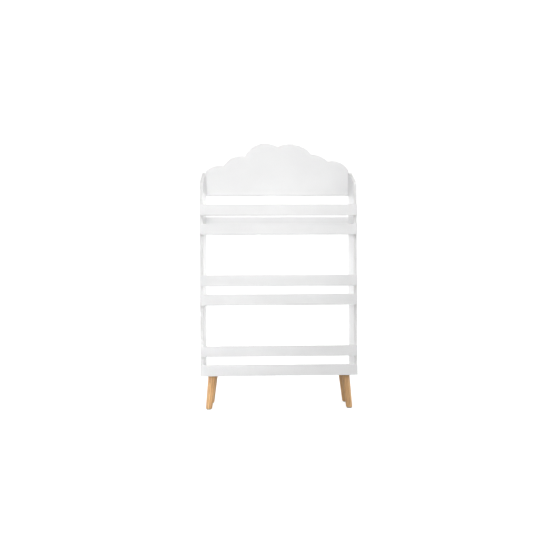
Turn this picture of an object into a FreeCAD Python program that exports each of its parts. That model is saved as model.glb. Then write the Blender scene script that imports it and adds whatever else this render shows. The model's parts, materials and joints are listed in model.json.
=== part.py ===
import FreeCAD, Part
import math
import os

import Sketcher
from FreeCAD import Vector

# Three-tier open children's bookcase with a cloud-shaped back panel and four
# splayed wooden legs.  Flat-pack construction: two side panels carry three
# shelf boards, two rails per tier across the front edges, one low back rail
# and the cloud panel, all held by cam-and-bolt fittings and dowels.
#
# Millimetres.  +Z is up, the front faces -Y, and the origin is on the floor
# under the middle of the bookcase.

doc = FreeCAD.newDocument("bookcase")

# --------------------------------------------------------------- dimensions

DIMENSIONS = {
    # overall and boards
    "overall_width": 580,
    "overall_depth": 180,
    "board": 12,                 # thickness of every panel, shelf and rail
    "leg_height": 125,           # floor to the underside of the side panels
    "side_height": 768,          # side panel, at its back edge
    "shoulder_level": 23,        # level part of its top edge, from the back edge
    "shoulder_slope": 21.2,      # degrees, fall of the top edge from there to the front
    "shoulder_bend": 100,        # arc between the level part and the slope
    "shoulder_round": 8,         # arc between the slope and the front edge
    "edge_round": 1.2,           # eased edges of every board
    # tiers
    "tier_pitch": 260,
    "shelf_rise": 9,             # lower rail's bottom edge to the shelf's underside
    "rail_height": 40,
    "upper_rail_rise": 70.5,     # lower rail's bottom edge to upper rail's bottom edge
    "back_rail_height": 67,
    "header_rise": 160,          # top tier's base to the cloud panel's straight edge
    # cam-and-bolt fittings and dowels
    "cam_setback": 24,           # joint face to cam centre
    "cam_diameter": 12,
    "cam_depth": 10,
    "cam_slot_length": 7,        # cross slot in the cam's face
    "cam_slot_width": 1.4,
    "cam_slot_depth": 1.6,
    "bolt_bore": 7,
    "bolt_head": 6,
    "bolt_head_short": 1,        # from the cam's centre back to the bolt head's centre
    "bolt_neck": 4,
    "bolt_thread": 5,
    "bolt_grip": 8,              # thread length in the mating board
    "dowel": 6,
    "dowel_grip": 8,             # dowel length in the mating board's face
    "dowel_depth": 20,           # dowel hole depth in a board's edge
    "fit_gap": 0.1,              # radial gap round every pin, bolt and cam
    "end_gap": 0.4,              # gap at the blind end of every pin, bolt and cam
    "overcut": 1,                # reach of a cutting tool past the surface it cuts
    "shelf_bolt_spread": 30,     # shelf bolts, either side of the side panel's middle
    "rail_bolt_rise": 30,        # above the rail's bottom edge
    "rail_dowel_rise": 12,
    "back_rail_bolt_rise": 29,
    "back_rail_dowel_rise": 52,
    "header_bolt_low": 20,
    "header_bolt_high": 65,
    "header_dowel_rise": 42,
    "wall_hole": 5,
    "wall_hole_rise": 31,        # above the back rail's bottom edge
    "wall_hole_spacing": 300,
    # legs
    "leg_length": 124,           # along the leg's own axis
    "leg_top": 31,
    "leg_foot": 23,
    "leg_foot_round": 2.5,
    "leg_top_round": 1,
    "foot_out": 261,             # foot centre from the bookcase's middle, across
    "foot_apart": 134,           # foot centres, front to back
    "splay_across": 6,           # degrees, seen from the front
    "splay_depth": 4.3,          # degrees, seen from the side
    "glide_thickness": 2,
    "glide_diameter": 19,
    # leg plates
    "plate_length": 60,
    "plate_width": 44,
    "plate_thickness": 2.5,
    "plate_corner": 6,
    "plate_boss": 26,
    "plate_boss_flare": 1,       # the boss grows this much, in radius, towards the plate
    "plate_screw_across": 24,    # plate screws from the plate's centre
    "plate_screw_depth": 16,
    "hanger_bolt": 8,
    "hanger_in_leg": 30,
    "hanger_in_plate": 7.5,
    "screw_shank": 3.4,
    "screw_length": 10.5,
    "screw_point": 2,
    "screw_point_end": 0.6,
    "screw_head": 7,
    "screw_head_edge": 1,        # the head's crown is this much narrower all round
    "screw_head_height": 2,
    "screw_cross_length": 3.6,   # cross recess in the screw's head
    "screw_cross_width": 0.9,
    "screw_cross_depth": 1.2,
}

sheet = doc.addObject("Spreadsheet::Sheet", "Size")
for row, (alias, number) in enumerate(DIMENSIONS.items(), start=1):
    sheet.set(f"A{row}", alias)
    sheet.set(f"B{row}", str(number))
    sheet.setAlias(f"B{row}", alias)
doc.recompute()

# Expressions that several pieces share.
HALF_WIDTH = "Size.overall_width / 2"
INNER = "(Size.overall_width / 2 - Size.board)"          # inner face of a side panel
BACK = "Size.overall_depth / 2"                          # back plane
FRONT = "(Size.board - Size.overall_depth / 2)"          # side panels' front edges
SIDE_MIDDLE = "(Size.board / 2)"                         # middle of a side panel's depth
BACK_MIDDLE = "(Size.overall_depth / 2 - Size.board / 2)"
BACK_RAIL_FOOT = "(2 * Size.tier_pitch + Size.shelf_rise)"   # above the side panel's foot
HEADER_FOOT = "(2 * Size.tier_pitch + Size.header_rise)"
TIERS = ("bottom", "middle", "top")


def tier_base(tier):
    """Height of a tier's lower rail above the floor."""
    return f"(Size.leg_height + {TIERS.index(tier)} * Size.tier_pitch)"


def number(expression):
    """Value of a sheet expression."""
    return float(sheet.evalExpression(expression.replace("Size.", "")))


# ------------------------------------------------------------- body helpers

def new_body(node):
    body = doc.addObject("PartDesign::Body", node)
    body.Label = node
    return body


def place(thing, across="0", depth="0", height="0"):
    """Bind an object's position to the sheet."""
    thing.setExpression("Placement.Base.x", across)
    thing.setExpression("Placement.Base.y", depth)
    thing.setExpression("Placement.Base.z", height)


def new_sketch(body, role, name, offset="0"):
    """Sketch on one of the body's own origin planes, moved along its normal."""
    plane = next(item for item in body.Origin.OriginFeatures if item.Role == role)
    sketch = body.newObject("Sketcher::SketchObject", name)
    sketch.AttachmentSupport = [(plane, "")]
    sketch.MapMode = "FlatFace"
    sketch.setExpression("AttachmentOffset.Base.z", offset)
    return sketch


def constrain(sketch, kind, expression, name, *place_in_sketch):
    """Add a named dimension and bind it to the sheet."""
    index = sketch.addConstraint(Sketcher.Constraint(kind, *place_in_sketch, number(expression)))
    sketch.renameConstraint(index, name)
    sketch.setExpression(f"Constraints.{name}", expression)


def outline(sketch, corners, arcs=()):
    """Closed outline through corners given as expressions, in clockwise order.

    arcs maps the index of an edge to the radius of the outward arc that it is.
    """
    arcs = dict(arcs)
    points = [Vector(number(x), number(y), 0) for x, y in corners]
    count = len(points)
    for index, start in enumerate(points):
        end = points[(index + 1) % count]
        if index in arcs:
            sketch.addGeometry(outward_arc(start, end, number(arcs[index])), False)
        else:
            sketch.addGeometry(Part.LineSegment(start, end), False)
    for index, (x, y) in enumerate(corners):
        # An arc runs anticlockwise, so its end is where the outline enters it.
        after = (index + 1) % count
        leave = 1 if index in arcs else 2
        enter_next = 2 if after in arcs else 1
        sketch.addConstraint(Sketcher.Constraint("Coincident", index, leave, after, enter_next))
        enter = 2 if index in arcs else 1
        constrain(sketch, "DistanceX", x, f"x{index}", -1, 1, index, enter)
        constrain(sketch, "DistanceY", y, f"y{index}", -1, 1, index, enter)
    for index, radius in arcs.items():
        constrain(sketch, "Radius", radius, f"radius{index}", index)


def outward_arc(start, end, radius):
    """Arc that bulges to the left of the way from start to end."""
    chord = end - start
    left = Vector(-chord.y, chord.x, 0).normalize()
    centre = (start + end) / 2 - left * math.sqrt(radius ** 2 - (chord.Length / 2) ** 2)
    first = math.atan2(end.y - centre.y, end.x - centre.x)
    last = math.atan2(start.y - centre.y, start.x - centre.x)
    return Part.ArcOfCircle(Part.Circle(centre, Vector(0, 0, 1), radius), first, last)


def pad(body, sketch, length, towards_negative=False):
    feature = body.newObject("PartDesign::Pad", f"{body.Name}_pad")
    feature.Profile = sketch
    feature.setExpression("Length", length)
    feature.Reversed = towards_negative
    doc.recompute()
    return feature


def ease_edges(body, base):
    """Round every edge of a board a little."""
    fillet = body.newObject("PartDesign::Fillet", f"{body.Name}_eased")
    fillet.Base = (base, [""])
    fillet.UseAllEdges = True
    fillet.setExpression("Radius", "Size.edge_round")
    doc.recompute()


def drill(body, name, role, offset, centres, diameter, depth, reverse=False, both_ends=False):
    """Blind round holes drilled from a plane, optionally mirrored left to right."""
    before = body.Shape.Volume
    sketch = new_sketch(body, role, f"{body.Name}_{name}_sketch", offset)
    for index, (x, y) in enumerate(centres):
        circle = Part.Circle(Vector(number(x), number(y), 0), Vector(0, 0, 1), number(diameter) / 2)
        sketch.addGeometry(circle, False)
        constrain(sketch, "DistanceX", x, f"x{index}", -1, 1, index, 3)
        constrain(sketch, "DistanceY", y, f"y{index}", -1, 1, index, 3)
        constrain(sketch, "Diameter", diameter, f"diameter{index}", index)
    pocket = body.newObject("PartDesign::Pocket", f"{body.Name}_{name}")
    pocket.Profile = sketch
    pocket.setExpression("Length", depth)
    pocket.Reversed = reverse
    doc.recompute()
    if both_ends:
        mirror = body.newObject("PartDesign::Mirrored", f"{body.Name}_{name}_mirrored")
        mirror.Originals = [pocket]
        plane = next(item for item in body.Origin.OriginFeatures if item.Role == "YZ_Plane")
        mirror.MirrorPlane = (plane, [""])
        body.Tip = mirror
        doc.recompute()
    if body.Shape.Volume > before - 0.5 * number(diameter) ** 2 * number(depth) / 2:
        raise RuntimeError(f"{body.Name}: {name} cut nothing")


# -------------------------------------------------------------- side panels

def side_bolt_centres():
    """Bolt holes in a side panel's inner face: (depth, height above the panel's foot)."""
    centres = []
    for tier in range(len(TIERS)):
        height = f"{tier} * Size.tier_pitch + Size.shelf_rise + Size.board / 2"
        for sign in (-1, 1):
            centres.append((f"{SIDE_MIDDLE} + {sign} * Size.shelf_bolt_spread", height))
    centres.append((BACK_MIDDLE, f"{BACK_RAIL_FOOT} + Size.back_rail_bolt_rise"))
    centres.append((BACK_MIDDLE, f"{HEADER_FOOT} + Size.header_bolt_low"))
    centres.append((BACK_MIDDLE, f"{HEADER_FOOT} + Size.header_bolt_high"))
    return centres


def side_dowel_centres():
    """Dowel holes in a side panel's inner face."""
    centres = []
    for tier in range(len(TIERS)):
        height = f"{tier} * Size.tier_pitch + Size.shelf_rise + Size.board / 2"
        centres.append((SIDE_MIDDLE, height))
    centres.append((BACK_MIDDLE, f"{BACK_RAIL_FOOT} + Size.back_rail_dowel_rise"))
    centres.append((BACK_MIDDLE, f"{HEADER_FOOT} + Size.header_dowel_rise"))
    return centres


def rail_heights(rise):
    """Height above the side panel's foot of one point of each of the six front rails."""
    heights = []
    for tier in range(len(TIERS)):
        heights.append(f"{tier} * Size.tier_pitch + {rise}")
        heights.append(f"{tier} * Size.tier_pitch + Size.upper_rail_rise + {rise}")
    return heights


def side_panel(hand, sign):
    """Tall panel whose top edge is level at the back and slopes down to the front.

    The panel's own origin is on its inner face, at its foot.
    """
    body = new_body(f"side_panel_{hand}")
    place(body, across=f"{sign} * {INNER}", height="Size.leg_height")
    sketch = new_sketch(body, "YZ_Plane", f"{body.Name}_outline")
    # Where the slope would meet the level part and the front edge without the arcs.
    bend = f"({BACK} - Size.shoulder_level)"
    low = f"(Size.side_height - ({bend} - {FRONT}) * tan(Size.shoulder_slope))"
    # From each of those corners to the ends of its arc.
    bend_reach = "Size.shoulder_bend * tan(Size.shoulder_slope / 2)"
    round_reach = "Size.shoulder_round * tan(45 - Size.shoulder_slope / 2)"
    along, down = "cos(Size.shoulder_slope)", "sin(Size.shoulder_slope)"
    corners = [(FRONT, "0"), (FRONT, f"{low} - {round_reach}"),
               (f"{FRONT} + {round_reach} * {along}", f"{low} + {round_reach} * {down}"),
               (f"{bend} - {bend_reach} * {along}", f"Size.side_height - {bend_reach} * {down}"),
               (f"{bend} + {bend_reach}", "Size.side_height"),
               (BACK, "Size.side_height"), (BACK, "0")]
    arcs = {1: "Size.shoulder_round", 3: "Size.shoulder_bend"}
    outline(sketch, corners, arcs)
    ease_edges(body, pad(body, sketch, "Size.board", towards_negative=sign < 0))

    # The cut goes outwards, away from the bookcase's middle.
    outwards = sign > 0
    drill(body, "board_bolt_holes", "YZ_Plane", "0", side_bolt_centres(),
          "Size.bolt_thread", "Size.bolt_grip", reverse=outwards)
    drill(body, "board_dowel_holes", "YZ_Plane", "0", side_dowel_centres(),
          "Size.dowel", "Size.dowel_grip", reverse=outwards)
    cams = [(f"{FRONT} + Size.cam_setback", height) for height in rail_heights("Size.rail_bolt_rise")]
    drill(body, "cam_recesses", "YZ_Plane", "0", cams, "Size.cam_diameter", "Size.cam_depth",
          reverse=outwards)
    # The XZ plane's normal is -Y, so the front edge lies at a positive offset.
    middle = f"{sign} * Size.board / 2"
    bolts = [(middle, height) for height in rail_heights("Size.rail_bolt_rise")]
    drill(body, "rail_bolt_bores", "XZ_Plane", f"-{FRONT}", bolts, "Size.bolt_bore",
          "Size.cam_setback")
    dowels = [(middle, height) for height in rail_heights("Size.rail_dowel_rise")]
    drill(body, "rail_dowel_holes", "XZ_Plane", f"-{FRONT}", dowels, "Size.dowel",
          "Size.dowel_depth")
    return body


# ------------------------------------------------------------- shelf boards

def shelf_board(tier):
    """Plain board between the side panels; the top one stops in front of the back rail.

    Its origin is on its underside, in the middle of the side panels' depth.
    """
    body = new_body(f"shelf_{tier}")
    place(body, depth=SIDE_MIDDLE, height=f"{tier_base(tier)} + Size.shelf_rise")
    front_edge = "(Size.board - Size.overall_depth) / 2"
    back_edge = "(Size.overall_depth - Size.board) / 2"
    if tier == "top":
        back_edge = "(Size.overall_depth - 3 * Size.board) / 2"
    sketch = new_sketch(body, "XY_Plane", f"{body.Name}_outline")
    corners = [(f"-{INNER}", front_edge), (f"-{INNER}", back_edge),
               (INNER, back_edge), (INNER, front_edge)]
    outline(sketch, corners)
    ease_edges(body, pad(body, sketch, "Size.board"))
    bolts = [(f"{sign} * Size.shelf_bolt_spread", "Size.board / 2") for sign in (-1, 1)]
    drill(body, "bolt_bores", "YZ_Plane", INNER, bolts, "Size.bolt_bore", "Size.cam_setback",
          both_ends=True)
    drill(body, "dowel_holes", "YZ_Plane", INNER, [("0", "Size.board / 2")], "Size.dowel",
          "Size.dowel_depth", both_ends=True)
    cams = [(f"{INNER} - Size.cam_setback", f"{sign} * Size.shelf_bolt_spread") for sign in (-1, 1)]
    drill(body, "cam_recesses", "XY_Plane", "0", cams, "Size.cam_diameter", "Size.cam_depth",
          reverse=True, both_ends=True)
    if tier == "bottom":
        pilots = []
        for _, row in LEG_ROWS:
            for across in (-1, 1):
                for depth in (-1, 1):
                    x = f"{PLATE_OUT} + {across} * Size.plate_screw_across"
                    y = f"{row} * {PLATE_DEPTH} + {depth} * Size.plate_screw_depth"
                    pilots.append((x, y))
        drill(body, "leg_screw_holes", "XY_Plane", "0", pilots,
              "Size.screw_shank + 2 * Size.fit_gap",
              "Size.screw_length - Size.plate_thickness + Size.end_gap", reverse=True,
              both_ends=True)
    return body


# -------------------------------------------------------------------- rails

def front_rail(tier, level):
    """Slat across the front edges of both side panels."""
    body = new_body(f"front_rail_{tier}_{level}")
    rise = "Size.upper_rail_rise" if level == "upper" else "0"
    place(body, depth=FRONT, height=f"{tier_base(tier)} + {rise}")
    sketch = new_sketch(body, "XZ_Plane", f"{body.Name}_outline")
    corners = [(f"-{HALF_WIDTH}", "0"), (f"-{HALF_WIDTH}", "Size.rail_height"),
               (HALF_WIDTH, "Size.rail_height"), (HALF_WIDTH, "0")]
    outline(sketch, corners)
    ease_edges(body, pad(body, sketch, "Size.board"))
    fixing = f"{HALF_WIDTH} - Size.board / 2"
    drill(body, "bolt_holes", "XZ_Plane", "0", [(fixing, "Size.rail_bolt_rise")],
          "Size.bolt_thread", "Size.bolt_grip", reverse=True, both_ends=True)
    drill(body, "dowel_holes", "XZ_Plane", "0", [(fixing, "Size.rail_dowel_rise")],
          "Size.dowel", "Size.dowel_grip", reverse=True, both_ends=True)
    return body


def back_rail():
    """Low rail behind the top shelf, drilled for the two wall screws."""
    body = new_body("back_rail")
    place(body, depth=BACK, height=f"Size.leg_height + {BACK_RAIL_FOOT}")
    sketch = new_sketch(body, "XZ_Plane", "back_rail_outline")
    corners = [(f"-{INNER}", "0"), (f"-{INNER}", "Size.back_rail_height"),
               (INNER, "Size.back_rail_height"), (INNER, "0")]
    outline(sketch, corners)
    ease_edges(body, pad(body, sketch, "Size.board"))
    drill(body, "bolt_bores", "YZ_Plane", INNER, [("-Size.board / 2", "Size.back_rail_bolt_rise")],
          "Size.bolt_bore", "Size.cam_setback", both_ends=True)
    drill(body, "dowel_holes", "YZ_Plane", INNER,
          [("-Size.board / 2", "Size.back_rail_dowel_rise")], "Size.dowel", "Size.dowel_depth",
          both_ends=True)
    drill(body, "cam_recesses", "XZ_Plane", "0",
          [(f"{INNER} - Size.cam_setback", "Size.back_rail_bolt_rise")], "Size.cam_diameter",
          "Size.cam_depth", reverse=True, both_ends=True)
    drill(body, "wall_screw_holes", "XZ_Plane", "0",
          [("Size.wall_hole_spacing / 2", "Size.wall_hole_rise")], "Size.wall_hole",
          "Size.board", reverse=True, both_ends=True)
    return body


# -------------------------------------------------------------- cloud panel

# The cloud's outline from left to right: each notch between two lobes, as
# distance across from the middle and height above the panel's straight edge,
# and the radius of the lobe that follows it.
CLOUD_NOTCHES = [(-210, 114), (-125, 153), (1, 189), (132, 161), (198, 133)]
CLOUD_ENDS = (95, 98)                       # height of the outline at each side panel
CLOUD_RADII = [80, 85, 87, 106, 104, 73]


def header_panel():
    """Cloud-topped back panel, between the side panels at the back plane."""
    body = new_body("header_panel")
    place(body, depth=BACK, height=f"Size.leg_height + {HEADER_FOOT}")
    sketch = new_sketch(body, "XZ_Plane", "header_outline")
    corners = [(f"-{INNER}", "0"), (f"-{INNER}", str(CLOUD_ENDS[0]))]
    corners += [(str(x), str(y)) for x, y in CLOUD_NOTCHES]
    corners += [(INNER, str(CLOUD_ENDS[1])), (INNER, "0")]
    lobes = {index: str(radius) for index, radius in enumerate(CLOUD_RADII, start=1)}
    outline(sketch, corners, lobes)
    ease_edges(body, pad(body, sketch, "Size.board"))
    rises = ("Size.header_bolt_low", "Size.header_bolt_high")
    drill(body, "bolt_bores", "YZ_Plane", INNER, [("-Size.board / 2", rise) for rise in rises],
          "Size.bolt_bore", "Size.cam_setback", both_ends=True)
    drill(body, "dowel_holes", "YZ_Plane", INNER,
          [("-Size.board / 2", "Size.header_dowel_rise")], "Size.dowel", "Size.dowel_depth",
          both_ends=True)
    cams = [(f"{INNER} - Size.cam_setback", rise) for rise in rises]
    drill(body, "cam_recesses", "XZ_Plane", "0", cams, "Size.cam_diameter", "Size.cam_depth",
          reverse=True, both_ends=True)
    return body


# --------------------------------------------------------- legs and plates

LEG_ROWS = (("front", -1), ("back", 1))
LEG_SIDES = (("left", -1), ("right", 1))

# Rise of a leg's axis over the height of the shelf's underside, and from that
# the plate's centre: the axis leans in from the foot at the two splay angles.
SHELF_UNDERSIDE = "(Size.leg_height + Size.shelf_rise)"
PLATE_OUT = f"(Size.foot_out - {SHELF_UNDERSIDE} * tan(Size.splay_across))"
PLATE_DEPTH = f"(Size.foot_apart / 2 - {SHELF_UNDERSIDE} * tan(Size.splay_depth))"
TILT = "atan(sqrt(tan(Size.splay_across)^2 + tan(Size.splay_depth)^2))"


def lean(thing, side, row):
    """Stand an object on a leg's foot centre with its own Z along the leg's axis."""
    place(thing, across=f"{side} * Size.foot_out",
          depth=f"{SIDE_MIDDLE} + {row} * Size.foot_apart / 2")
    thing.setExpression("Placement.Rotation.Axis.x", f"{row} * tan(Size.splay_depth)")
    thing.setExpression("Placement.Rotation.Axis.y", f"{-side} * tan(Size.splay_across)")
    thing.setExpression("Placement.Rotation.Axis.z", "0")
    thing.setExpression("Placement.Rotation.Angle", TILT)


def along_leg(name, radius_low, radius_high, start, length, side, row):
    """Cone or cylinder on a leg's axis, between two distances from the foot centre."""
    cone = doc.addObject("Part::Cone", name)
    cone.setExpression("Radius1", radius_low)
    cone.setExpression("Radius2", radius_high)
    cone.setExpression("Height", length)
    holder = doc.addObject("Part::Compound", f"{name}_on_axis")
    holder.Links = [cone]
    cone.setExpression("Placement.Base.z", start)
    lean(holder, side, row)
    return holder


def slab(name, across, depth, low, high):
    """Wide flat box used to trim a slanting piece level, between two heights."""
    box = doc.addObject("Part::Box", name)
    box.setExpression("Length", "2 * Size.plate_length")
    box.setExpression("Width", "2 * Size.plate_length")
    box.setExpression("Height", f"{high} - ({low})")
    place(box, across=f"{across} - Size.plate_length", depth=f"{depth} - Size.plate_length",
          height=low)
    return box


def cut(name, base, *tools):
    """Base minus every tool."""
    result = doc.addObject("Part::Cut", name)
    result.Base = base
    if len(tools) == 1:
        result.Tool = tools[0]
    else:
        joined = doc.addObject("Part::Compound", f"{name}_tools")
        joined.Links = list(tools)
        result.Tool = joined
    return result


def leg(row_name, row, side_name, side):
    """Turned, tapered leg, trimmed level at the foot and bored for its hanger bolt."""
    node = f"leg_{row_name}_{side_name}"
    across = f"{side} * Size.foot_out"
    depth = f"({SIDE_MIDDLE} + {row} * Size.foot_apart / 2)"
    turned = along_leg(f"{node}_turned", "Size.leg_foot / 2", "Size.leg_top / 2", "0",
                       "Size.leg_length", side, row)
    # The turning starts at the floor, so a wedge of the trim only takes its lower rim.
    trim = slab(f"{node}_trim", across, depth, "-Size.leg_foot", "Size.glide_thickness")
    bore = along_leg(f"{node}_bore", "Size.hanger_bolt / 2 + Size.fit_gap",
                     "Size.hanger_bolt / 2 + Size.fit_gap",
                     "Size.leg_length - Size.hanger_in_leg - Size.end_gap",
                     "Size.hanger_in_leg + Size.end_gap + Size.overcut", side, row)
    bored = cut(f"{node}_bored", turned, trim, bore)
    doc.recompute()
    # Round the foot's rim and the rim of the top; the bore's rims are shorter and stay.
    foot_round, top_round = number("Size.leg_foot_round"), number("Size.leg_top_round")
    bore_rim = number("(Size.hanger_bolt + 2 * Size.fit_gap) * pi")
    middle = number("Size.leg_length / 2")
    rims = []
    for index, edge in enumerate(bored.Shape.Edges, start=1):
        if not edge.Closed or edge.Length < 1.5 * bore_rim:
            continue
        radius = foot_round if edge.BoundBox.ZMax < middle else top_round
        rims.append((index, radius, radius))
    rounded = doc.addObject("Part::Fillet", node)
    rounded.Label = node
    rounded.Base = bored
    rounded.Edges = rims
    return rounded


def leg_plate(row_name, row, side_name, side):
    """Pressed steel plate under the bottom shelf, with a boss that sets the splay."""
    node = f"leg_plate_{row_name}_{side_name}"
    across = f"{side} * {PLATE_OUT}"
    depth = f"({SIDE_MIDDLE} + {row} * {PLATE_DEPTH})"
    flat = doc.addObject("Part::Box", f"{node}_flat")
    flat.setExpression("Length", "Size.plate_length")
    flat.setExpression("Width", "Size.plate_width")
    flat.setExpression("Height", "Size.plate_thickness")
    place(flat, across=f"{across} - Size.plate_length / 2", depth=f"{depth} - Size.plate_width / 2",
          height=f"{SHELF_UNDERSIDE} - Size.plate_thickness")
    doc.recompute()
    corners = doc.addObject("Part::Fillet", f"{node}_corners")
    corners.Base = flat
    radius = number("Size.plate_corner")
    corners.Edges = [(index, radius, radius) for index, edge in enumerate(flat.Shape.Edges, start=1)
                     if edge.BoundBox.ZLength > number("Size.plate_thickness") / 2]
    boss = along_leg(f"{node}_boss", "Size.plate_boss / 2",
                     "Size.plate_boss / 2 + Size.plate_boss_flare",
                     "Size.leg_length", "Size.plate_boss / 2 + Size.plate_thickness", side, row)
    above = slab(f"{node}_above", across, depth, SHELF_UNDERSIDE,
                 f"{SHELF_UNDERSIDE} + Size.plate_boss")
    trimmed = cut(f"{node}_boss_trimmed", boss, above)
    joined = doc.addObject("Part::Fuse", f"{node}_joined")
    joined.Base = corners
    joined.Tool = trimmed
    bore = along_leg(f"{node}_bore", "Size.hanger_bolt / 2 + Size.fit_gap",
                     "Size.hanger_bolt / 2 + Size.fit_gap",
                     "Size.leg_length - Size.overcut", "Size.plate_boss", side, row)
    holes = [bore]
    for x, y in plate_screw_places(side, row):
        hole = doc.addObject("Part::Cylinder", f"{node}_hole")
        hole.setExpression("Radius", "Size.screw_shank / 2 + Size.fit_gap")
        hole.setExpression("Height", "3 * Size.plate_thickness")
        place(hole, across=x, depth=y, height=f"{SHELF_UNDERSIDE} - 2 * Size.plate_thickness")
        holes.append(hole)
    plate = cut(node, joined, *holes)
    plate.Label = node
    return plate


def plate_screw_places(side, row):
    """Centres of the four screws of one leg plate."""
    places = []
    for across in (-1, 1):
        for depth in (-1, 1):
            x = f"{side} * {PLATE_OUT} + {across} * Size.plate_screw_across"
            y = f"{SIDE_MIDDLE} + {row} * {PLATE_DEPTH} + {depth} * Size.plate_screw_depth"
            places.append((x, y))
    return places


def glide(row_name, row, side_name, side):
    """Thin round felt glide under a foot."""
    node = f"glide_{row_name}_{side_name}"
    disc = doc.addObject("Part::Cylinder", node)
    disc.Label = node
    disc.setExpression("Radius", "Size.glide_diameter / 2")
    disc.setExpression("Height", "Size.glide_thickness")
    place(disc, across=f"{side} * Size.foot_out",
          depth=f"{SIDE_MIDDLE} + {row} * Size.foot_apart / 2")
    return disc


# ------------------------------------------------------------ small fixings

def cylinder(name, radius, start, length):
    """Cylinder on the Z axis between two distances from the origin."""
    piece = doc.addObject("Part::Cylinder", name)
    piece.setExpression("Radius", radius)
    piece.setExpression("Height", length)
    piece.setExpression("Placement.Base.z", start)
    return piece


def fused(name, *pieces):
    result = doc.addObject("Part::MultiFuse", name)
    result.Shapes = list(pieces)
    return result


def cam_bolt_pattern():
    """Cam bolt on Z: thread below the joint face at zero, neck and round head above."""
    thread = cylinder("cam_bolt_thread", "Size.bolt_thread / 2 - Size.fit_gap",
                      "Size.end_gap - Size.bolt_grip", "Size.bolt_grip - Size.end_gap")
    neck = cylinder("cam_bolt_neck", "Size.bolt_neck / 2", "0",
                    "Size.cam_setback - Size.bolt_head_short")
    head = doc.addObject("Part::Sphere", "cam_bolt_head")
    head.setExpression("Radius", "Size.bolt_head / 2")
    head.setExpression("Placement.Base.z", "Size.cam_setback - Size.bolt_head_short")
    return fused("cam_bolt_pattern", thread, neck, head)


def cam_lock_pattern():
    """Cam lock on Z, its slotted face at zero, notched for a bolt that comes along -X."""
    drum = cylinder("cam_drum", "Size.cam_diameter / 2 - Size.fit_gap", "0",
                    "Size.cam_depth - Size.end_gap")
    notch = doc.addObject("Part::Cylinder", "cam_notch")
    notch.setExpression("Radius", "Size.bolt_bore / 2 - Size.fit_gap")
    notch.setExpression("Height", "Size.cam_diameter")
    # Lies along X at the bolt's depth, open towards -X and past the bolt's head.
    notch.setExpression("Placement.Base.x", "-Size.cam_diameter + Size.bolt_head / 2")
    notch.setExpression("Placement.Base.z", "Size.board / 2")
    notch.setExpression("Placement.Rotation.Axis.y", "1")
    notch.setExpression("Placement.Rotation.Axis.z", "0")
    notch.setExpression("Placement.Rotation.Angle", "90")
    slots = cross_slots("cam_slot", "Size.cam_slot_length", "Size.cam_slot_width",
                        "-Size.overcut", "Size.cam_slot_depth + Size.overcut")
    return cut("cam_lock_pattern", drum, notch, *slots)


def cross_slots(name, length, width, start, height):
    """Two boxes crossed on the Z axis, used to cut a driver's recess."""
    slots = []
    for turn, (across, depth) in enumerate(((length, width), (width, length))):
        slot = doc.addObject("Part::Box", f"{name}_{turn}")
        slot.setExpression("Length", across)
        slot.setExpression("Width", depth)
        slot.setExpression("Height", height)
        place(slot, across=f"-{across} / 2", depth=f"-{depth} / 2", height=start)
        slots.append(slot)
    return slots


def dowel_pattern():
    """Plain beech dowel on Z, standing across the joint face at zero."""
    rod = cylinder("dowel_rod", "Size.dowel / 2 - Size.fit_gap", "Size.end_gap - Size.dowel_grip",
                   "Size.dowel_grip + Size.dowel_depth - 2 * Size.end_gap")
    # A link takes its pattern without the pattern's own placement, so the rod is held in one more.
    return group("dowel_pattern", [rod])


def screw_pattern():
    """Pan-head screw on Z, pointing up, the head's seat at zero, its cross recess below."""
    shank = cylinder("screw_shank", "Size.screw_shank / 2", "0",
                     "Size.screw_length - Size.screw_point")
    point = doc.addObject("Part::Cone", "screw_point")
    point.setExpression("Radius1", "Size.screw_shank / 2")
    point.setExpression("Radius2", "Size.screw_point_end / 2")
    point.setExpression("Height", "Size.screw_point")
    point.setExpression("Placement.Base.z", "Size.screw_length - Size.screw_point")
    head = doc.addObject("Part::Cone", "screw_head")
    head.setExpression("Radius1", "Size.screw_head / 2 - Size.screw_head_edge")
    head.setExpression("Radius2", "Size.screw_head / 2")
    head.setExpression("Height", "Size.screw_head_height")
    head.setExpression("Placement.Base.z", "-Size.screw_head_height")
    whole = fused("screw_whole", shank, point, head)
    slots = cross_slots("screw_cross", "Size.screw_cross_length", "Size.screw_cross_width",
                        "-Size.screw_head_height - Size.overcut",
                        "Size.screw_cross_depth + Size.overcut")
    return cut("screw_pattern", whole, *slots)


def linked(pattern, name, position, axis, angle):
    """One more of a fixing: a link to its pattern, moved and turned."""
    link = doc.addObject("App::Link", name)
    link.LinkedObject = pattern
    link.Placement = FreeCAD.Placement(Vector(), FreeCAD.Rotation(Vector(*axis), angle))
    place(link, *position)
    return link


def group(node, members):
    """All the copies of one fixing, as separate solids of one node."""
    compound = doc.addObject("Part::Compound", node)
    compound.Label = node
    compound.Links = members
    return compound


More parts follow.
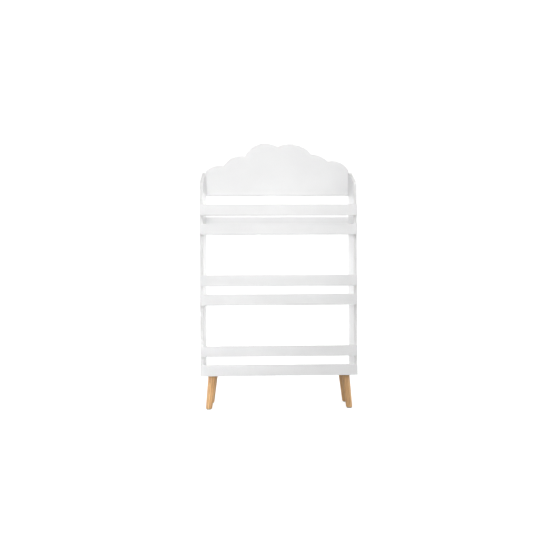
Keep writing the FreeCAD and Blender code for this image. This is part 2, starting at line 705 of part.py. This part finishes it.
def fixings():
    """Every cam, bolt, dowel and screw, in groups by what they hold."""
    bolt = cam_bolt_pattern()
    cam = cam_lock_pattern()
    dowel = dowel_pattern()
    screw = screw_pattern()
    doc.recompute()
    parts = {name: [] for name in (
        "rail_cam_bolts", "rail_cam_locks", "rail_dowels",
        "shelf_cam_bolts", "shelf_cam_locks", "shelf_dowels",
        "back_cam_bolts", "back_cam_locks", "back_dowels")}

    def add(kind, pattern, position, axis, angle):
        copies = parts[kind]
        copies.append(linked(pattern, f"{kind}_{len(copies)}", position, axis, angle))

    for _, side in LEG_SIDES:
        # Front rails: bolts and dowels point back into the side panel's edge.
        middle = f"{side} * ({HALF_WIDTH} - Size.board / 2)"
        inner = f"{side} * {INNER}"
        for height in rail_heights("Size.rail_bolt_rise"):
            level = f"Size.leg_height + {height}"
            add("rail_cam_bolts", bolt, (middle, FRONT, level), (1, 0, 0), -90)
            # The cam's face is on the inner face; its own Z points outwards and -X to the front.
            turn = ((1, 1, 1), 120) if side > 0 else ((-1, -1, 1), 120)
            add("rail_cam_locks", cam, (inner, f"{FRONT} + Size.cam_setback", level), *turn)
        for height in rail_heights("Size.rail_dowel_rise"):
            add("rail_dowels", dowel, (middle, FRONT, f"Size.leg_height + {height}"), (1, 0, 0), -90)

        # Boards between the side panels: bolts and dowels point to the middle.
        inwards = ((0, 1, 0), -90 * side)
        cam_x = f"{side} * ({INNER} - Size.cam_setback)"
        for tier in TIERS:
            board_middle = f"{tier_base(tier)} + Size.shelf_rise + Size.board / 2"
            underside = f"{tier_base(tier)} + Size.shelf_rise"
            for spread in (-1, 1):
                y = f"{SIDE_MIDDLE} + {spread} * Size.shelf_bolt_spread"
                add("shelf_cam_bolts", bolt, (inner, y, board_middle), *inwards)
                add("shelf_cam_locks", cam, (cam_x, y, underside), (0, 0, 1), 180 if side > 0 else 0)
            add("shelf_dowels", dowel, (inner, SIDE_MIDDLE, board_middle), *inwards)

        rail_foot = f"Size.leg_height + {BACK_RAIL_FOOT}"
        header_foot = f"Size.leg_height + {HEADER_FOOT}"
        bolt_levels = (f"{rail_foot} + Size.back_rail_bolt_rise",
                       f"{header_foot} + Size.header_bolt_low",
                       f"{header_foot} + Size.header_bolt_high")
        for level in bolt_levels:
            add("back_cam_bolts", bolt, (inner, BACK_MIDDLE, level), *inwards)
            # These cams go in from the back, their own Z towards the front.
            turn = ((1, 0, 0), 90) if side < 0 else ((0, 1, -1), 180)
            add("back_cam_locks", cam, (cam_x, BACK, level), *turn)
        for level in (f"{rail_foot} + Size.back_rail_dowel_rise",
                      f"{header_foot} + Size.header_dowel_rise"):
            add("back_dowels", dowel, (inner, BACK_MIDDLE, level), *inwards)

    groups = [group(node, members) for node, members in parts.items()]

    screws = []
    for _, row in LEG_ROWS:
        for _, side in LEG_SIDES:
            for x, y in plate_screw_places(side, row):
                seat = f"{SHELF_UNDERSIDE} - Size.plate_thickness"
                screws.append(linked(screw, f"plate_screw_{len(screws)}", (x, y, seat), (0, 0, 1), 0))
    groups.append(group("leg_plate_screws", screws))

    hangers = []
    for row_name, row in LEG_ROWS:
        for side_name, side in LEG_SIDES:
            hangers.append(along_leg(f"hanger_bolt_{row_name}_{side_name}", "Size.hanger_bolt / 2",
                                     "Size.hanger_bolt / 2", "Size.leg_length - Size.hanger_in_leg",
                                     "Size.hanger_in_leg + Size.hanger_in_plate", side, row))
    groups.append(group("leg_hanger_bolts", hangers))
    return groups


# ----------------------------------------------------------------- assembly

pieces = [side_panel(hand, sign) for hand, sign in LEG_SIDES]
pieces += [shelf_board(tier) for tier in TIERS]
pieces += [front_rail(tier, level) for tier in TIERS for level in ("lower", "upper")]
pieces += [back_rail(), header_panel()]
for build in (leg, leg_plate, glide):
    for row_name, row in LEG_ROWS:
        for side_name, side in LEG_SIDES:
            pieces.append(build(row_name, row, side_name, side))
pieces += fixings()

doc.recompute()

for item in doc.Objects:
    if "Invalid" in item.State or "Error" in item.State:
        raise RuntimeError(f"{item.Name} failed: {item.State}")

os.makedirs("parts", exist_ok=True)
for piece in pieces:
    shape = piece.Shape
    if shape.isNull() or not shape.isValid():
        raise RuntimeError(f"{piece.Label} has no valid shape")
    shape.exportStep(f"parts/{piece.Label}.step")
    print(f"{piece.Label}: {len(shape.Solids)} solid(s), {shape.Volume / 1000:.1f} cm3")
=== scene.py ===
import json
import math

import bpy
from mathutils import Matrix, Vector


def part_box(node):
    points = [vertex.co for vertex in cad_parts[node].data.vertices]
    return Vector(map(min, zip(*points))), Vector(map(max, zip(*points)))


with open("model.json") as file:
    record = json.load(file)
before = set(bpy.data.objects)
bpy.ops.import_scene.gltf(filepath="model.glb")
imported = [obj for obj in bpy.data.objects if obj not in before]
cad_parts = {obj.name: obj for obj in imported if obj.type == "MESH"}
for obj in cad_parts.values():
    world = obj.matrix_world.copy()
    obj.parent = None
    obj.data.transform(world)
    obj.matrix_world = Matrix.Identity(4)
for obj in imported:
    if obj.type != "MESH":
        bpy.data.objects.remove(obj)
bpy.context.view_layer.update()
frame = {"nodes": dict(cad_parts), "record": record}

NODES = frame["nodes"]

# ------------------------------------------------------------------ camera

# The camera stands level, left of the bookcase's middle, and looks a little
# to the right, so the bookcase's right-hand side is the further one.
FRONT_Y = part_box("front_rail_top_upper")[0].y
CAMERA_X = -0.0735
CAMERA_HEIGHT = 0.510
CAMERA_DISTANCE = 2.786           # from the rails' front faces
CAMERA_TURN = 2.38                # degrees to the right
CAMERA_ROLL = 0.275               # degrees, lifts the picture's right side
CAMERA_LENS = 49.19               # millimetres
SENSOR_WIDTH = 36                 # millimetres
CAMERA_SHIFT = (-0.0242, -0.01065)    # in frame widths, to the right and up


def make_camera():
    data = bpy.data.cameras.new("camera")
    data.sensor_width = SENSOR_WIDTH
    data.lens = CAMERA_LENS
    data.shift_x, data.shift_y = CAMERA_SHIFT
    camera = bpy.data.objects.new("camera", data)
    camera.location = (CAMERA_X, FRONT_Y - CAMERA_DISTANCE, CAMERA_HEIGHT)
    camera.rotation_euler = [math.radians(angle) for angle in (90, CAMERA_ROLL, -CAMERA_TURN)]
    bpy.context.scene.collection.objects.link(camera)
    bpy.context.scene.camera = camera


# -------------------------------------------------------- material building

WHITE = (1.0, 1.0, 1.0)


class Graph:
    """Wires up one material around its Principled shader.

    What its methods pass on to each other is a pair: a node and its output.
    """

    def __init__(self, name):
        self.material = bpy.data.materials.new(name)
        self.material.use_nodes = True
        self.nodes = self.material.node_tree.nodes
        self.links = self.material.node_tree.links
        self.shader = self.nodes["Principled BSDF"]

    def add(self, kind, settings=None, **values):
        """New node; settings are its own properties, values its input sockets."""
        node = self.nodes.new(kind)
        for key, value in (settings or {}).items():
            setattr(node, key, value)
        for key, value in values.items():
            node.inputs[key.replace("_", " ")].default_value = value
        return node

    def link(self, source, output, target, socket):
        self.links.new(source.outputs[output], target.inputs[socket])

    def set(self, **values):
        """Constants on the shader's own sockets."""
        for key, value in values.items():
            self.shader.inputs[key.replace("_", " ")].default_value = value

    def place(self):
        """Where a point is on the object, in metres."""
        return (self.add("ShaderNodeTexCoord"), "Object")

    def mapping(self, vector, settings=None, **values):
        node = self.add("ShaderNodeMapping", settings, **values)
        self.link(*vector, node, "Vector")
        return (node, "Vector")

    def noise(self, vector, scale, detail, roughness, distortion=0.0):
        node = self.add("ShaderNodeTexNoise", Scale=scale, Detail=detail, Roughness=roughness,
                        Distortion=distortion)
        self.link(*vector, node, "Vector")
        return (node, "Fac")

    def math(self, operation, first, second=None):
        """Each value may be a number or another node's output."""
        node = self.add("ShaderNodeMath", {"operation": operation})
        for index, value in enumerate((first, second)):
            if value is None:
                continue
            if isinstance(value, tuple):
                self.link(*value, node, index)
            else:
                node.inputs[index].default_value = value
        return (node, 0)

    def spread(self, value, low, high, to_low, to_high):
        """Map a value from one range to another, clamped."""
        node = self.add("ShaderNodeMapRange", From_Min=low, From_Max=high, To_Min=to_low,
                        To_Max=to_high)
        self.link(*value, node, "Value")
        return (node, "Result")

    def ramp(self, value, *stops):
        """Colour ramp through (position, colour) stops."""
        node = self.add("ShaderNodeValToRGB")
        elements = node.color_ramp.elements
        while len(elements) < len(stops):
            elements.new(0.5)
        for element, (position, colour) in zip(elements, stops):
            element.position = position
            element.color = (*colour, 1)
        self.link(*value, node, "Fac")
        return (node, "Color")

    def mix(self, fac, first, second, blend="MIX"):
        """Mix two colours; each may be a colour or another node's output."""
        node = self.add("ShaderNodeMix", {"data_type": "RGBA", "blend_type": blend})
        sockets = [item for item in node.inputs if item.type == "RGBA"]
        for socket, value in zip(sockets, (first, second)):
            if isinstance(value[1], str):
                self.links.new(value[0].outputs[value[1]], socket)
            else:
                socket.default_value = (*value, 1)
        if isinstance(fac, tuple):
            self.link(*fac, node, "Factor")
        else:
            node.inputs["Factor"].default_value = fac
        return (node, "Result")

    def bump(self, height, distance, strength, under=None):
        """Bump of a height field, in metres, on top of another bump."""
        node = self.add("ShaderNodeBump", Strength=strength, Distance=distance)
        self.link(*height, node, "Height")
        if under:
            self.link(*under, node, "Normal")
        return (node, "Normal")

    def finish(self, colour, roughness, normal):
        """Link what isn't constant to the shader and return the material."""
        sockets = {"Base Color": colour, "Roughness": roughness, "Normal": normal}
        for socket, source in sockets.items():
            if source:
                self.link(*source, self.shader, socket)
        return self.material


# ------------------------------------------------------------- white boards

PAINT_LIGHT = (0.884, 0.884, 0.886)
PAINT_DARK = (0.850, 0.850, 0.853)
PAINT_EDGE = (0.838, 0.837, 0.834)      # where the cut edge drinks the paint
PAINT_SPECK = (0.93, 0.93, 0.92)        # multiplies the paint's colour


def thickness_axis(node):
    """0, 1 or 2: the axis along a board's thickness."""
    low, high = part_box(node)
    sizes = [high[i] - low[i] for i in range(3)]
    return sizes.index(min(sizes))


def white_paint(axis):
    """Sprayed satin paint on fibreboard whose faces look along one axis.

    The faces carry a fine orange peel and a long soft mottle; the cut edges are
    a little duller, greyer and more fibrous.
    """
    graph = Graph(f"white_paint_{'xyz'[axis]}")
    place = graph.place()
    surface = graph.add("ShaderNodeNewGeometry")
    split = graph.add("ShaderNodeSeparateXYZ")
    graph.link(surface, "Normal", split, "Vector")
    facing = graph.math("ABSOLUTE", (split, "XYZ"[axis]))
    edge = graph.spread(facing, low=0.35, high=0.85, to_low=1.0, to_high=0.0)

    mottle = graph.noise(place, scale=7.0, detail=4.0, roughness=0.55)
    paint = graph.ramp(mottle, (0.32, PAINT_DARK), (0.70, PAINT_LIGHT))
    speck = graph.noise(place, scale=900.0, detail=2.0, roughness=0.6)
    specks = graph.ramp(speck, (0.27, PAINT_SPECK), (0.34, WHITE))
    paint = graph.mix(0.6, paint, specks, "MULTIPLY")
    colour = graph.mix(edge, paint, PAINT_EDGE)

    sheen = graph.noise(place, scale=22.0, detail=5.0, roughness=0.6)
    face_gloss = graph.spread(sheen, low=0.3, high=0.7, to_low=0.36, to_high=0.47)
    dull = graph.math("MULTIPLY", edge, 0.14)
    roughness = graph.math("ADD", face_gloss, dull)

    peel = graph.noise(place, scale=420.0, detail=2.0, roughness=0.45)
    normal = graph.bump(peel, distance=0.00012, strength=0.35)
    fibre = graph.noise(place, scale=1500.0, detail=3.0, roughness=0.7)
    fibre = graph.math("MULTIPLY", fibre, edge)
    normal = graph.bump(fibre, distance=0.00025, strength=0.5, under=normal)
    graph.set(IOR=1.5)
    return graph.finish(colour, roughness, normal)


# --------------------------------------------------------------------- wood

EARLY_WOOD = (0.94, 0.63, 0.33)
MIDDLE_WOOD = (0.86, 0.53, 0.25)
LATE_WOOD = (0.50, 0.27, 0.11)
# Soft clouds, dark to pale, and dark fibres multiply the rings' colours.
WOOD_CLOUDS = ((0.86, 0.80, 0.74), (1.06, 1.05, 1.04))
WOOD_FIBRE = (0.80, 0.74, 0.68)
# Painted light and shade: the left legs' wood is made paler and the right legs' wood darker,
# standing in for the key light falling from the left.
LEG_PAINTED_LIGHT_TONES = {"leg_front_left": 1.13, "leg_back_left": 0.98, "leg_front_right": 0.90,
             "leg_back_right": 0.94}
LEG_END = 0.006                   # how much of a leg counts as its end, metres
# The pith lies beside the leg and leans a little against its axis, and each leg
# has its pith in another place.
PITH = Vector((0.034, 0.021, 0.0))
PITH_STEP = Vector((0.004, -0.003, 0.37))
PITH_LEAN = (2.2, -1.6)           # degrees
PITH_LEAN_STEP = 0.7
RING_DRAW = (1, 1, 0.07)          # rings and fibres are drawn out along the leg
FIBRE_DRAW = (1, 1, 0.03)


def leg_axis(node):
    """A leg's foot centre and the unit vector up its axis, from its mesh."""
    points = [vertex.co for vertex in NODES[node].data.vertices]
    low = min(point.z for point in points)
    high = max(point.z for point in points)
    foot = [point for point in points if point.z < low + LEG_END]
    top = [point for point in points if point.z > high - LEG_END]
    ends = []
    for group in (foot, top):
        corner_low = Vector([min(point[i] for point in group) for i in range(3)])
        corner_high = Vector([max(point[i] for point in group) for i in range(3)])
        ends.append((corner_low + corner_high) / 2)
    return ends[0], (ends[1] - ends[0]).normalized()


def leg_wood(node, number):
    """Lacquered pine turned from straight stock: growth rings round a pith that
    lies outside the leg, so they show as long streaks, with fibres."""
    graph = Graph(f"wood_{node}")
    foot, axis = leg_axis(node)
    upright = graph.mapping(graph.place(), {"vector_type": "TEXTURE"}, Location=foot,
                            Rotation=axis.to_track_quat("Z", "X").to_euler())
    lean = (math.radians(PITH_LEAN[0]), math.radians(PITH_LEAN[1] + PITH_LEAN_STEP * number))
    stock = graph.mapping(upright, Location=PITH + PITH_STEP * number, Rotation=(*lean, number))
    drawn = graph.mapping(stock, Scale=RING_DRAW)

    rings = graph.add("ShaderNodeTexWave", {"wave_type": "RINGS", "rings_direction": "Z",
                                            "wave_profile": "SAW"},
                      Scale=62.0, Distortion=2.4, Detail=2.0, Detail_Scale=1.2,
                      Detail_Roughness=0.55)
    graph.link(*drawn, rings, "Vector")
    rings = (rings, "Fac")
    # Painted light and shade: this leg's tone, paler for the left legs and darker for the right
    # ones, scales all its wood colours.
    tone = LEG_PAINTED_LIGHT_TONES[node]
    early, middle, late = (tuple(tone * part for part in colour)
                           for colour in (EARLY_WOOD, MIDDLE_WOOD, LATE_WOOD))
    wood = graph.ramp(rings, (0.0, early), (0.55, middle), (0.90, late), (1.0, early))
    cloud = graph.noise(drawn, scale=34.0, detail=3.0, roughness=0.5)
    clouds = graph.ramp(cloud, (0.30, WOOD_CLOUDS[0]), (0.68, WOOD_CLOUDS[1]))
    wood = graph.mix(0.85, wood, clouds, "MULTIPLY")

    stretched = graph.mapping(upright, Scale=FIBRE_DRAW)
    fibre = graph.noise(stretched, scale=1300.0, detail=3.0, roughness=0.6)
    fibres = graph.ramp(fibre, (0.33, WOOD_FIBRE), (0.60, WHITE))
    wood = graph.mix(0.7, wood, fibres, "MULTIPLY")

    gloss = graph.spread(rings, low=0.0, high=1.0, to_low=0.50, to_high=0.38)
    normal = graph.bump(rings, distance=0.00010, strength=0.4)
    normal = graph.bump(fibre, distance=0.00014, strength=0.5, under=normal)
    graph.set(Coat_Weight=0.25, Coat_Roughness=0.32)
    return graph.finish(wood, gloss, normal)


def dowel_wood():
    """Raw beech: pale and even, with short dark flecks."""
    graph = Graph("wood_dowel")
    grain = graph.noise(graph.place(), scale=500.0, detail=4.0, roughness=0.6)
    colour = graph.ramp(grain, (0.30, (0.46, 0.30, 0.16)), (0.45, (0.66, 0.47, 0.29)),
                        (0.75, (0.72, 0.54, 0.35)))
    normal = graph.bump(grain, distance=0.00008, strength=0.5)
    graph.set(Roughness=0.7)
    return graph.finish(colour, None, normal)


# ------------------------------------------------------------ metal and felt

def zinc_steel():
    """Bright zinc plate: bluish to yellow passivation and fine drawing marks."""
    graph = Graph("zinc_plate")
    place = graph.place()
    film = graph.noise(place, scale=160.0, detail=3.0, roughness=0.6)
    colour = graph.ramp(film, (0.32, (0.56, 0.57, 0.60)), (0.52, (0.66, 0.66, 0.65)),
                        (0.72, (0.68, 0.65, 0.56)))
    marks = graph.noise(place, scale=1400.0, detail=3.0, roughness=0.6)
    roughness = graph.spread(marks, low=0.3, high=0.7, to_low=0.22, to_high=0.40)
    normal = graph.bump(marks, distance=0.00004, strength=0.5)
    graph.set(Metallic=1.0)
    return graph.finish(colour, roughness, normal)


def zinc_casting():
    """Tumbled zinc die casting: dull, grainy, darker in its pits."""
    graph = Graph("zinc_cast")
    grain = graph.noise(graph.place(), scale=900.0, detail=4.0, roughness=0.65)
    colour = graph.ramp(grain, (0.30, (0.34, 0.34, 0.35)), (0.60, (0.56, 0.56, 0.56)))
    roughness = graph.spread(grain, low=0.3, high=0.7, to_low=0.58, to_high=0.40)
    normal = graph.bump(grain, distance=0.00012, strength=0.6)
    graph.set(Metallic=0.9)
    return graph.finish(colour, roughness, normal)


def plate_steel():
    """Powder-coated steel: fine leathery texture, nearly black."""
    graph = Graph("powder_coat")
    place = graph.place()
    pebble = graph.noise(place, scale=1100.0, detail=2.0, roughness=0.5)
    tone = graph.noise(place, scale=60.0, detail=3.0, roughness=0.5)
    colour = graph.ramp(tone, (0.3, (0.014, 0.014, 0.015)), (0.7, (0.028, 0.028, 0.028)))
    roughness = graph.spread(pebble, low=0.3, high=0.7, to_low=0.42, to_high=0.58)
    normal = graph.bump(pebble, distance=0.00018, strength=0.6)
    return graph.finish(colour, roughness, normal)


def felt():
    """Pressed wool felt: dull and mottled, with a matted nap."""
    graph = Graph("wool_felt")
    nap = graph.noise(graph.place(), scale=1600.0, detail=5.0, roughness=0.75, distortion=1.2)
    colour = graph.ramp(nap, (0.30, (0.115, 0.10, 0.085)), (0.70, (0.26, 0.235, 0.20)))
    normal = graph.bump(nap, distance=0.0004, strength=0.9)
    graph.set(Roughness=0.95, Sheen_Weight=0.35, Sheen_Roughness=0.5)
    return graph.finish(colour, None, normal)


# ----------------------------------------------------------- finish of nodes

def finish_nodes():
    """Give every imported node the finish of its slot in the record."""
    slots = {part["node"]: part["material_slot"] for part in frame["record"]["subparts"]}
    boards = [white_paint(axis) for axis in range(3)]
    plain = {"dowel_wood": dowel_wood(), "zinc_steel": zinc_steel(),
             "zinc_casting": zinc_casting(), "plate_steel": plate_steel(), "felt": felt()}
    legs = sorted(name for name, slot in slots.items() if slot == "leg_wood")
    for name, node in NODES.items():
        if slots[name] == "white_paint":
            material = boards[thickness_axis(name)]
        elif slots[name] == "leg_wood":
            material = leg_wood(name, legs.index(name))
        else:
            material = plain[slots[name]]
        node.data.materials.clear()
        node.data.materials.append(material)


# ------------------------------------------------------------ studio, lights

FLOOR_REACH = 12.0                # metres from the middle to the floor's edges
FLOOR_TONE = (0.5, 0.5, 0.5, 1)
GLOW_NEAR = 0.5                   # metres from the middle, glow is lowest inside
GLOW_FAR = 2.2                    # and highest beyond this
GLOW_LOW = 0.66
BACKDROP = 1.1                    # world and far floor as the camera sees them
ROOM_LIGHT = 0.12                 # world light on the object

MIDDLE = (0, 0, 0.5)              # of the bookcase
OPEN = 180                        # spread of a plain soft box, degrees
# Soft boxes: place, point aimed at, side in metres, watts, and spread in degrees.
# The beams light the left side, the top and the middle more than the far lower
# right; the lights beside and behind reach the side panels and the back.
LIGHTS = {
    "beam_high": ((-0.4, -3.0, 1.9), (-0.12, 0, 0.80), 0.7, 0.246, 18),
    "beam_low": ((-0.3, -3.0, 1.2), (-0.05, 0, 0.34), 0.9, 0.358, 16),
    "beam_leg": ((-1.0, -3.0, 1.5), (-0.26, -0.06, 0.08), 0.5, 0.165, 12),
    "front_high": ((0.0, -1.8, 2.3), (0, 0, 0.6), 1.6, 27.2, OPEN),
    "front_right": ((1.9, -2.2, 1.2), MIDDLE, 1.0, 14.2, OPEN),
    "left_low": ((-1.4, -1.0, 0.6), MIDDLE, 0.8, 3.6, OPEN),
    "top": ((0.0, -0.4, 2.6), MIDDLE, 2.0, 9.4, OPEN),
    "side_left": ((-2.4, 0.5, 1.0), MIDDLE, 1.6, 27.3, OPEN),
    "side_right": ((2.4, 0.5, 1.0), MIDDLE, 1.6, 27.3, OPEN),
    "back": ((0.0, 2.4, 1.2), MIDDLE, 3.0, 21.7, OPEN),
    "back_low": ((0.0, 2.2, 0.25), (0, 0, 0.15), 2.0, 13.7, OPEN),
    "back_left": ((-1.6, 1.6, 1.2), MIDDLE, 2.0, 7.0, OPEN),
    "back_right": ((1.6, 1.6, 1.2), MIDDLE, 2.0, 7.0, OPEN),
}


def make_floor():
    """White sweep, brighter far out, so that it meets the backdrop without an edge.

    Part of its brightness is a glow that only the camera sees, so that its base
    colour can be grey and throw less light up at the object.
    """
    mesh = bpy.data.meshes.new("floor")
    corners = [(x * FLOOR_REACH, y * FLOOR_REACH, 0)
               for x, y in ((-1, -1), (1, -1), (1, 1), (-1, 1))]
    mesh.from_pydata(corners, [], [(0, 1, 2, 3)])
    floor = bpy.data.objects.new("floor", mesh)
    bpy.context.scene.collection.objects.link(floor)
    graph = Graph("floor_white")
    reach = graph.add("ShaderNodeVectorMath", {"operation": "LENGTH"})
    graph.link(*graph.place(), reach, "Vector")
    glow = graph.spread((reach, "Value"), low=GLOW_NEAR, high=GLOW_FAR, to_low=GLOW_LOW,
                        to_high=BACKDROP)
    seen = graph.add("ShaderNodeLightPath")
    glow = graph.math("MULTIPLY", glow, (seen, "Is Camera Ray"))
    graph.link(*glow, graph.shader, "Emission Strength")
    graph.set(Base_Color=FLOOR_TONE, Roughness=0.9, Specular_IOR_Level=0.1,
              Emission_Color=(*WHITE, 1))
    mesh.materials.append(graph.material)


def make_lights():
    for name, (place, target, side, watts, spread) in LIGHTS.items():
        data = bpy.data.lights.new(name, "AREA")
        data.shape = "SQUARE"
        data.size = side
        data.energy = watts
        data.spread = math.radians(spread)
        light = bpy.data.objects.new(name, data)
        light.location = place
        aim = Vector(target) - Vector(place)
        light.rotation_euler = aim.to_track_quat("-Z", "Y").to_euler()
        light.visible_camera = False
        bpy.context.scene.collection.objects.link(light)


def make_world():
    """Even dim room light; the camera sees a white backdrop instead."""
    world = bpy.data.worlds.new("studio")
    bpy.context.scene.world = world
    world.use_nodes = True
    nodes = world.node_tree.nodes
    links = world.node_tree.links
    nodes.clear()
    output = nodes.new("ShaderNodeOutputWorld")
    path = nodes.new("ShaderNodeLightPath")
    mix = nodes.new("ShaderNodeMixShader")
    links.new(path.outputs["Is Camera Ray"], mix.inputs["Fac"])
    for socket, strength in ((1, ROOM_LIGHT), (2, BACKDROP)):
        background = nodes.new("ShaderNodeBackground")
        background.inputs["Color"].default_value = (*WHITE, 1)
        background.inputs["Strength"].default_value = strength
        links.new(background.outputs[0], mix.inputs[socket])
    links.new(mix.outputs[0], output.inputs["Surface"])


bpy.context.scene.view_settings.view_transform = "Standard"
make_camera()
make_floor()
make_world()
make_lights()
finish_nodes()
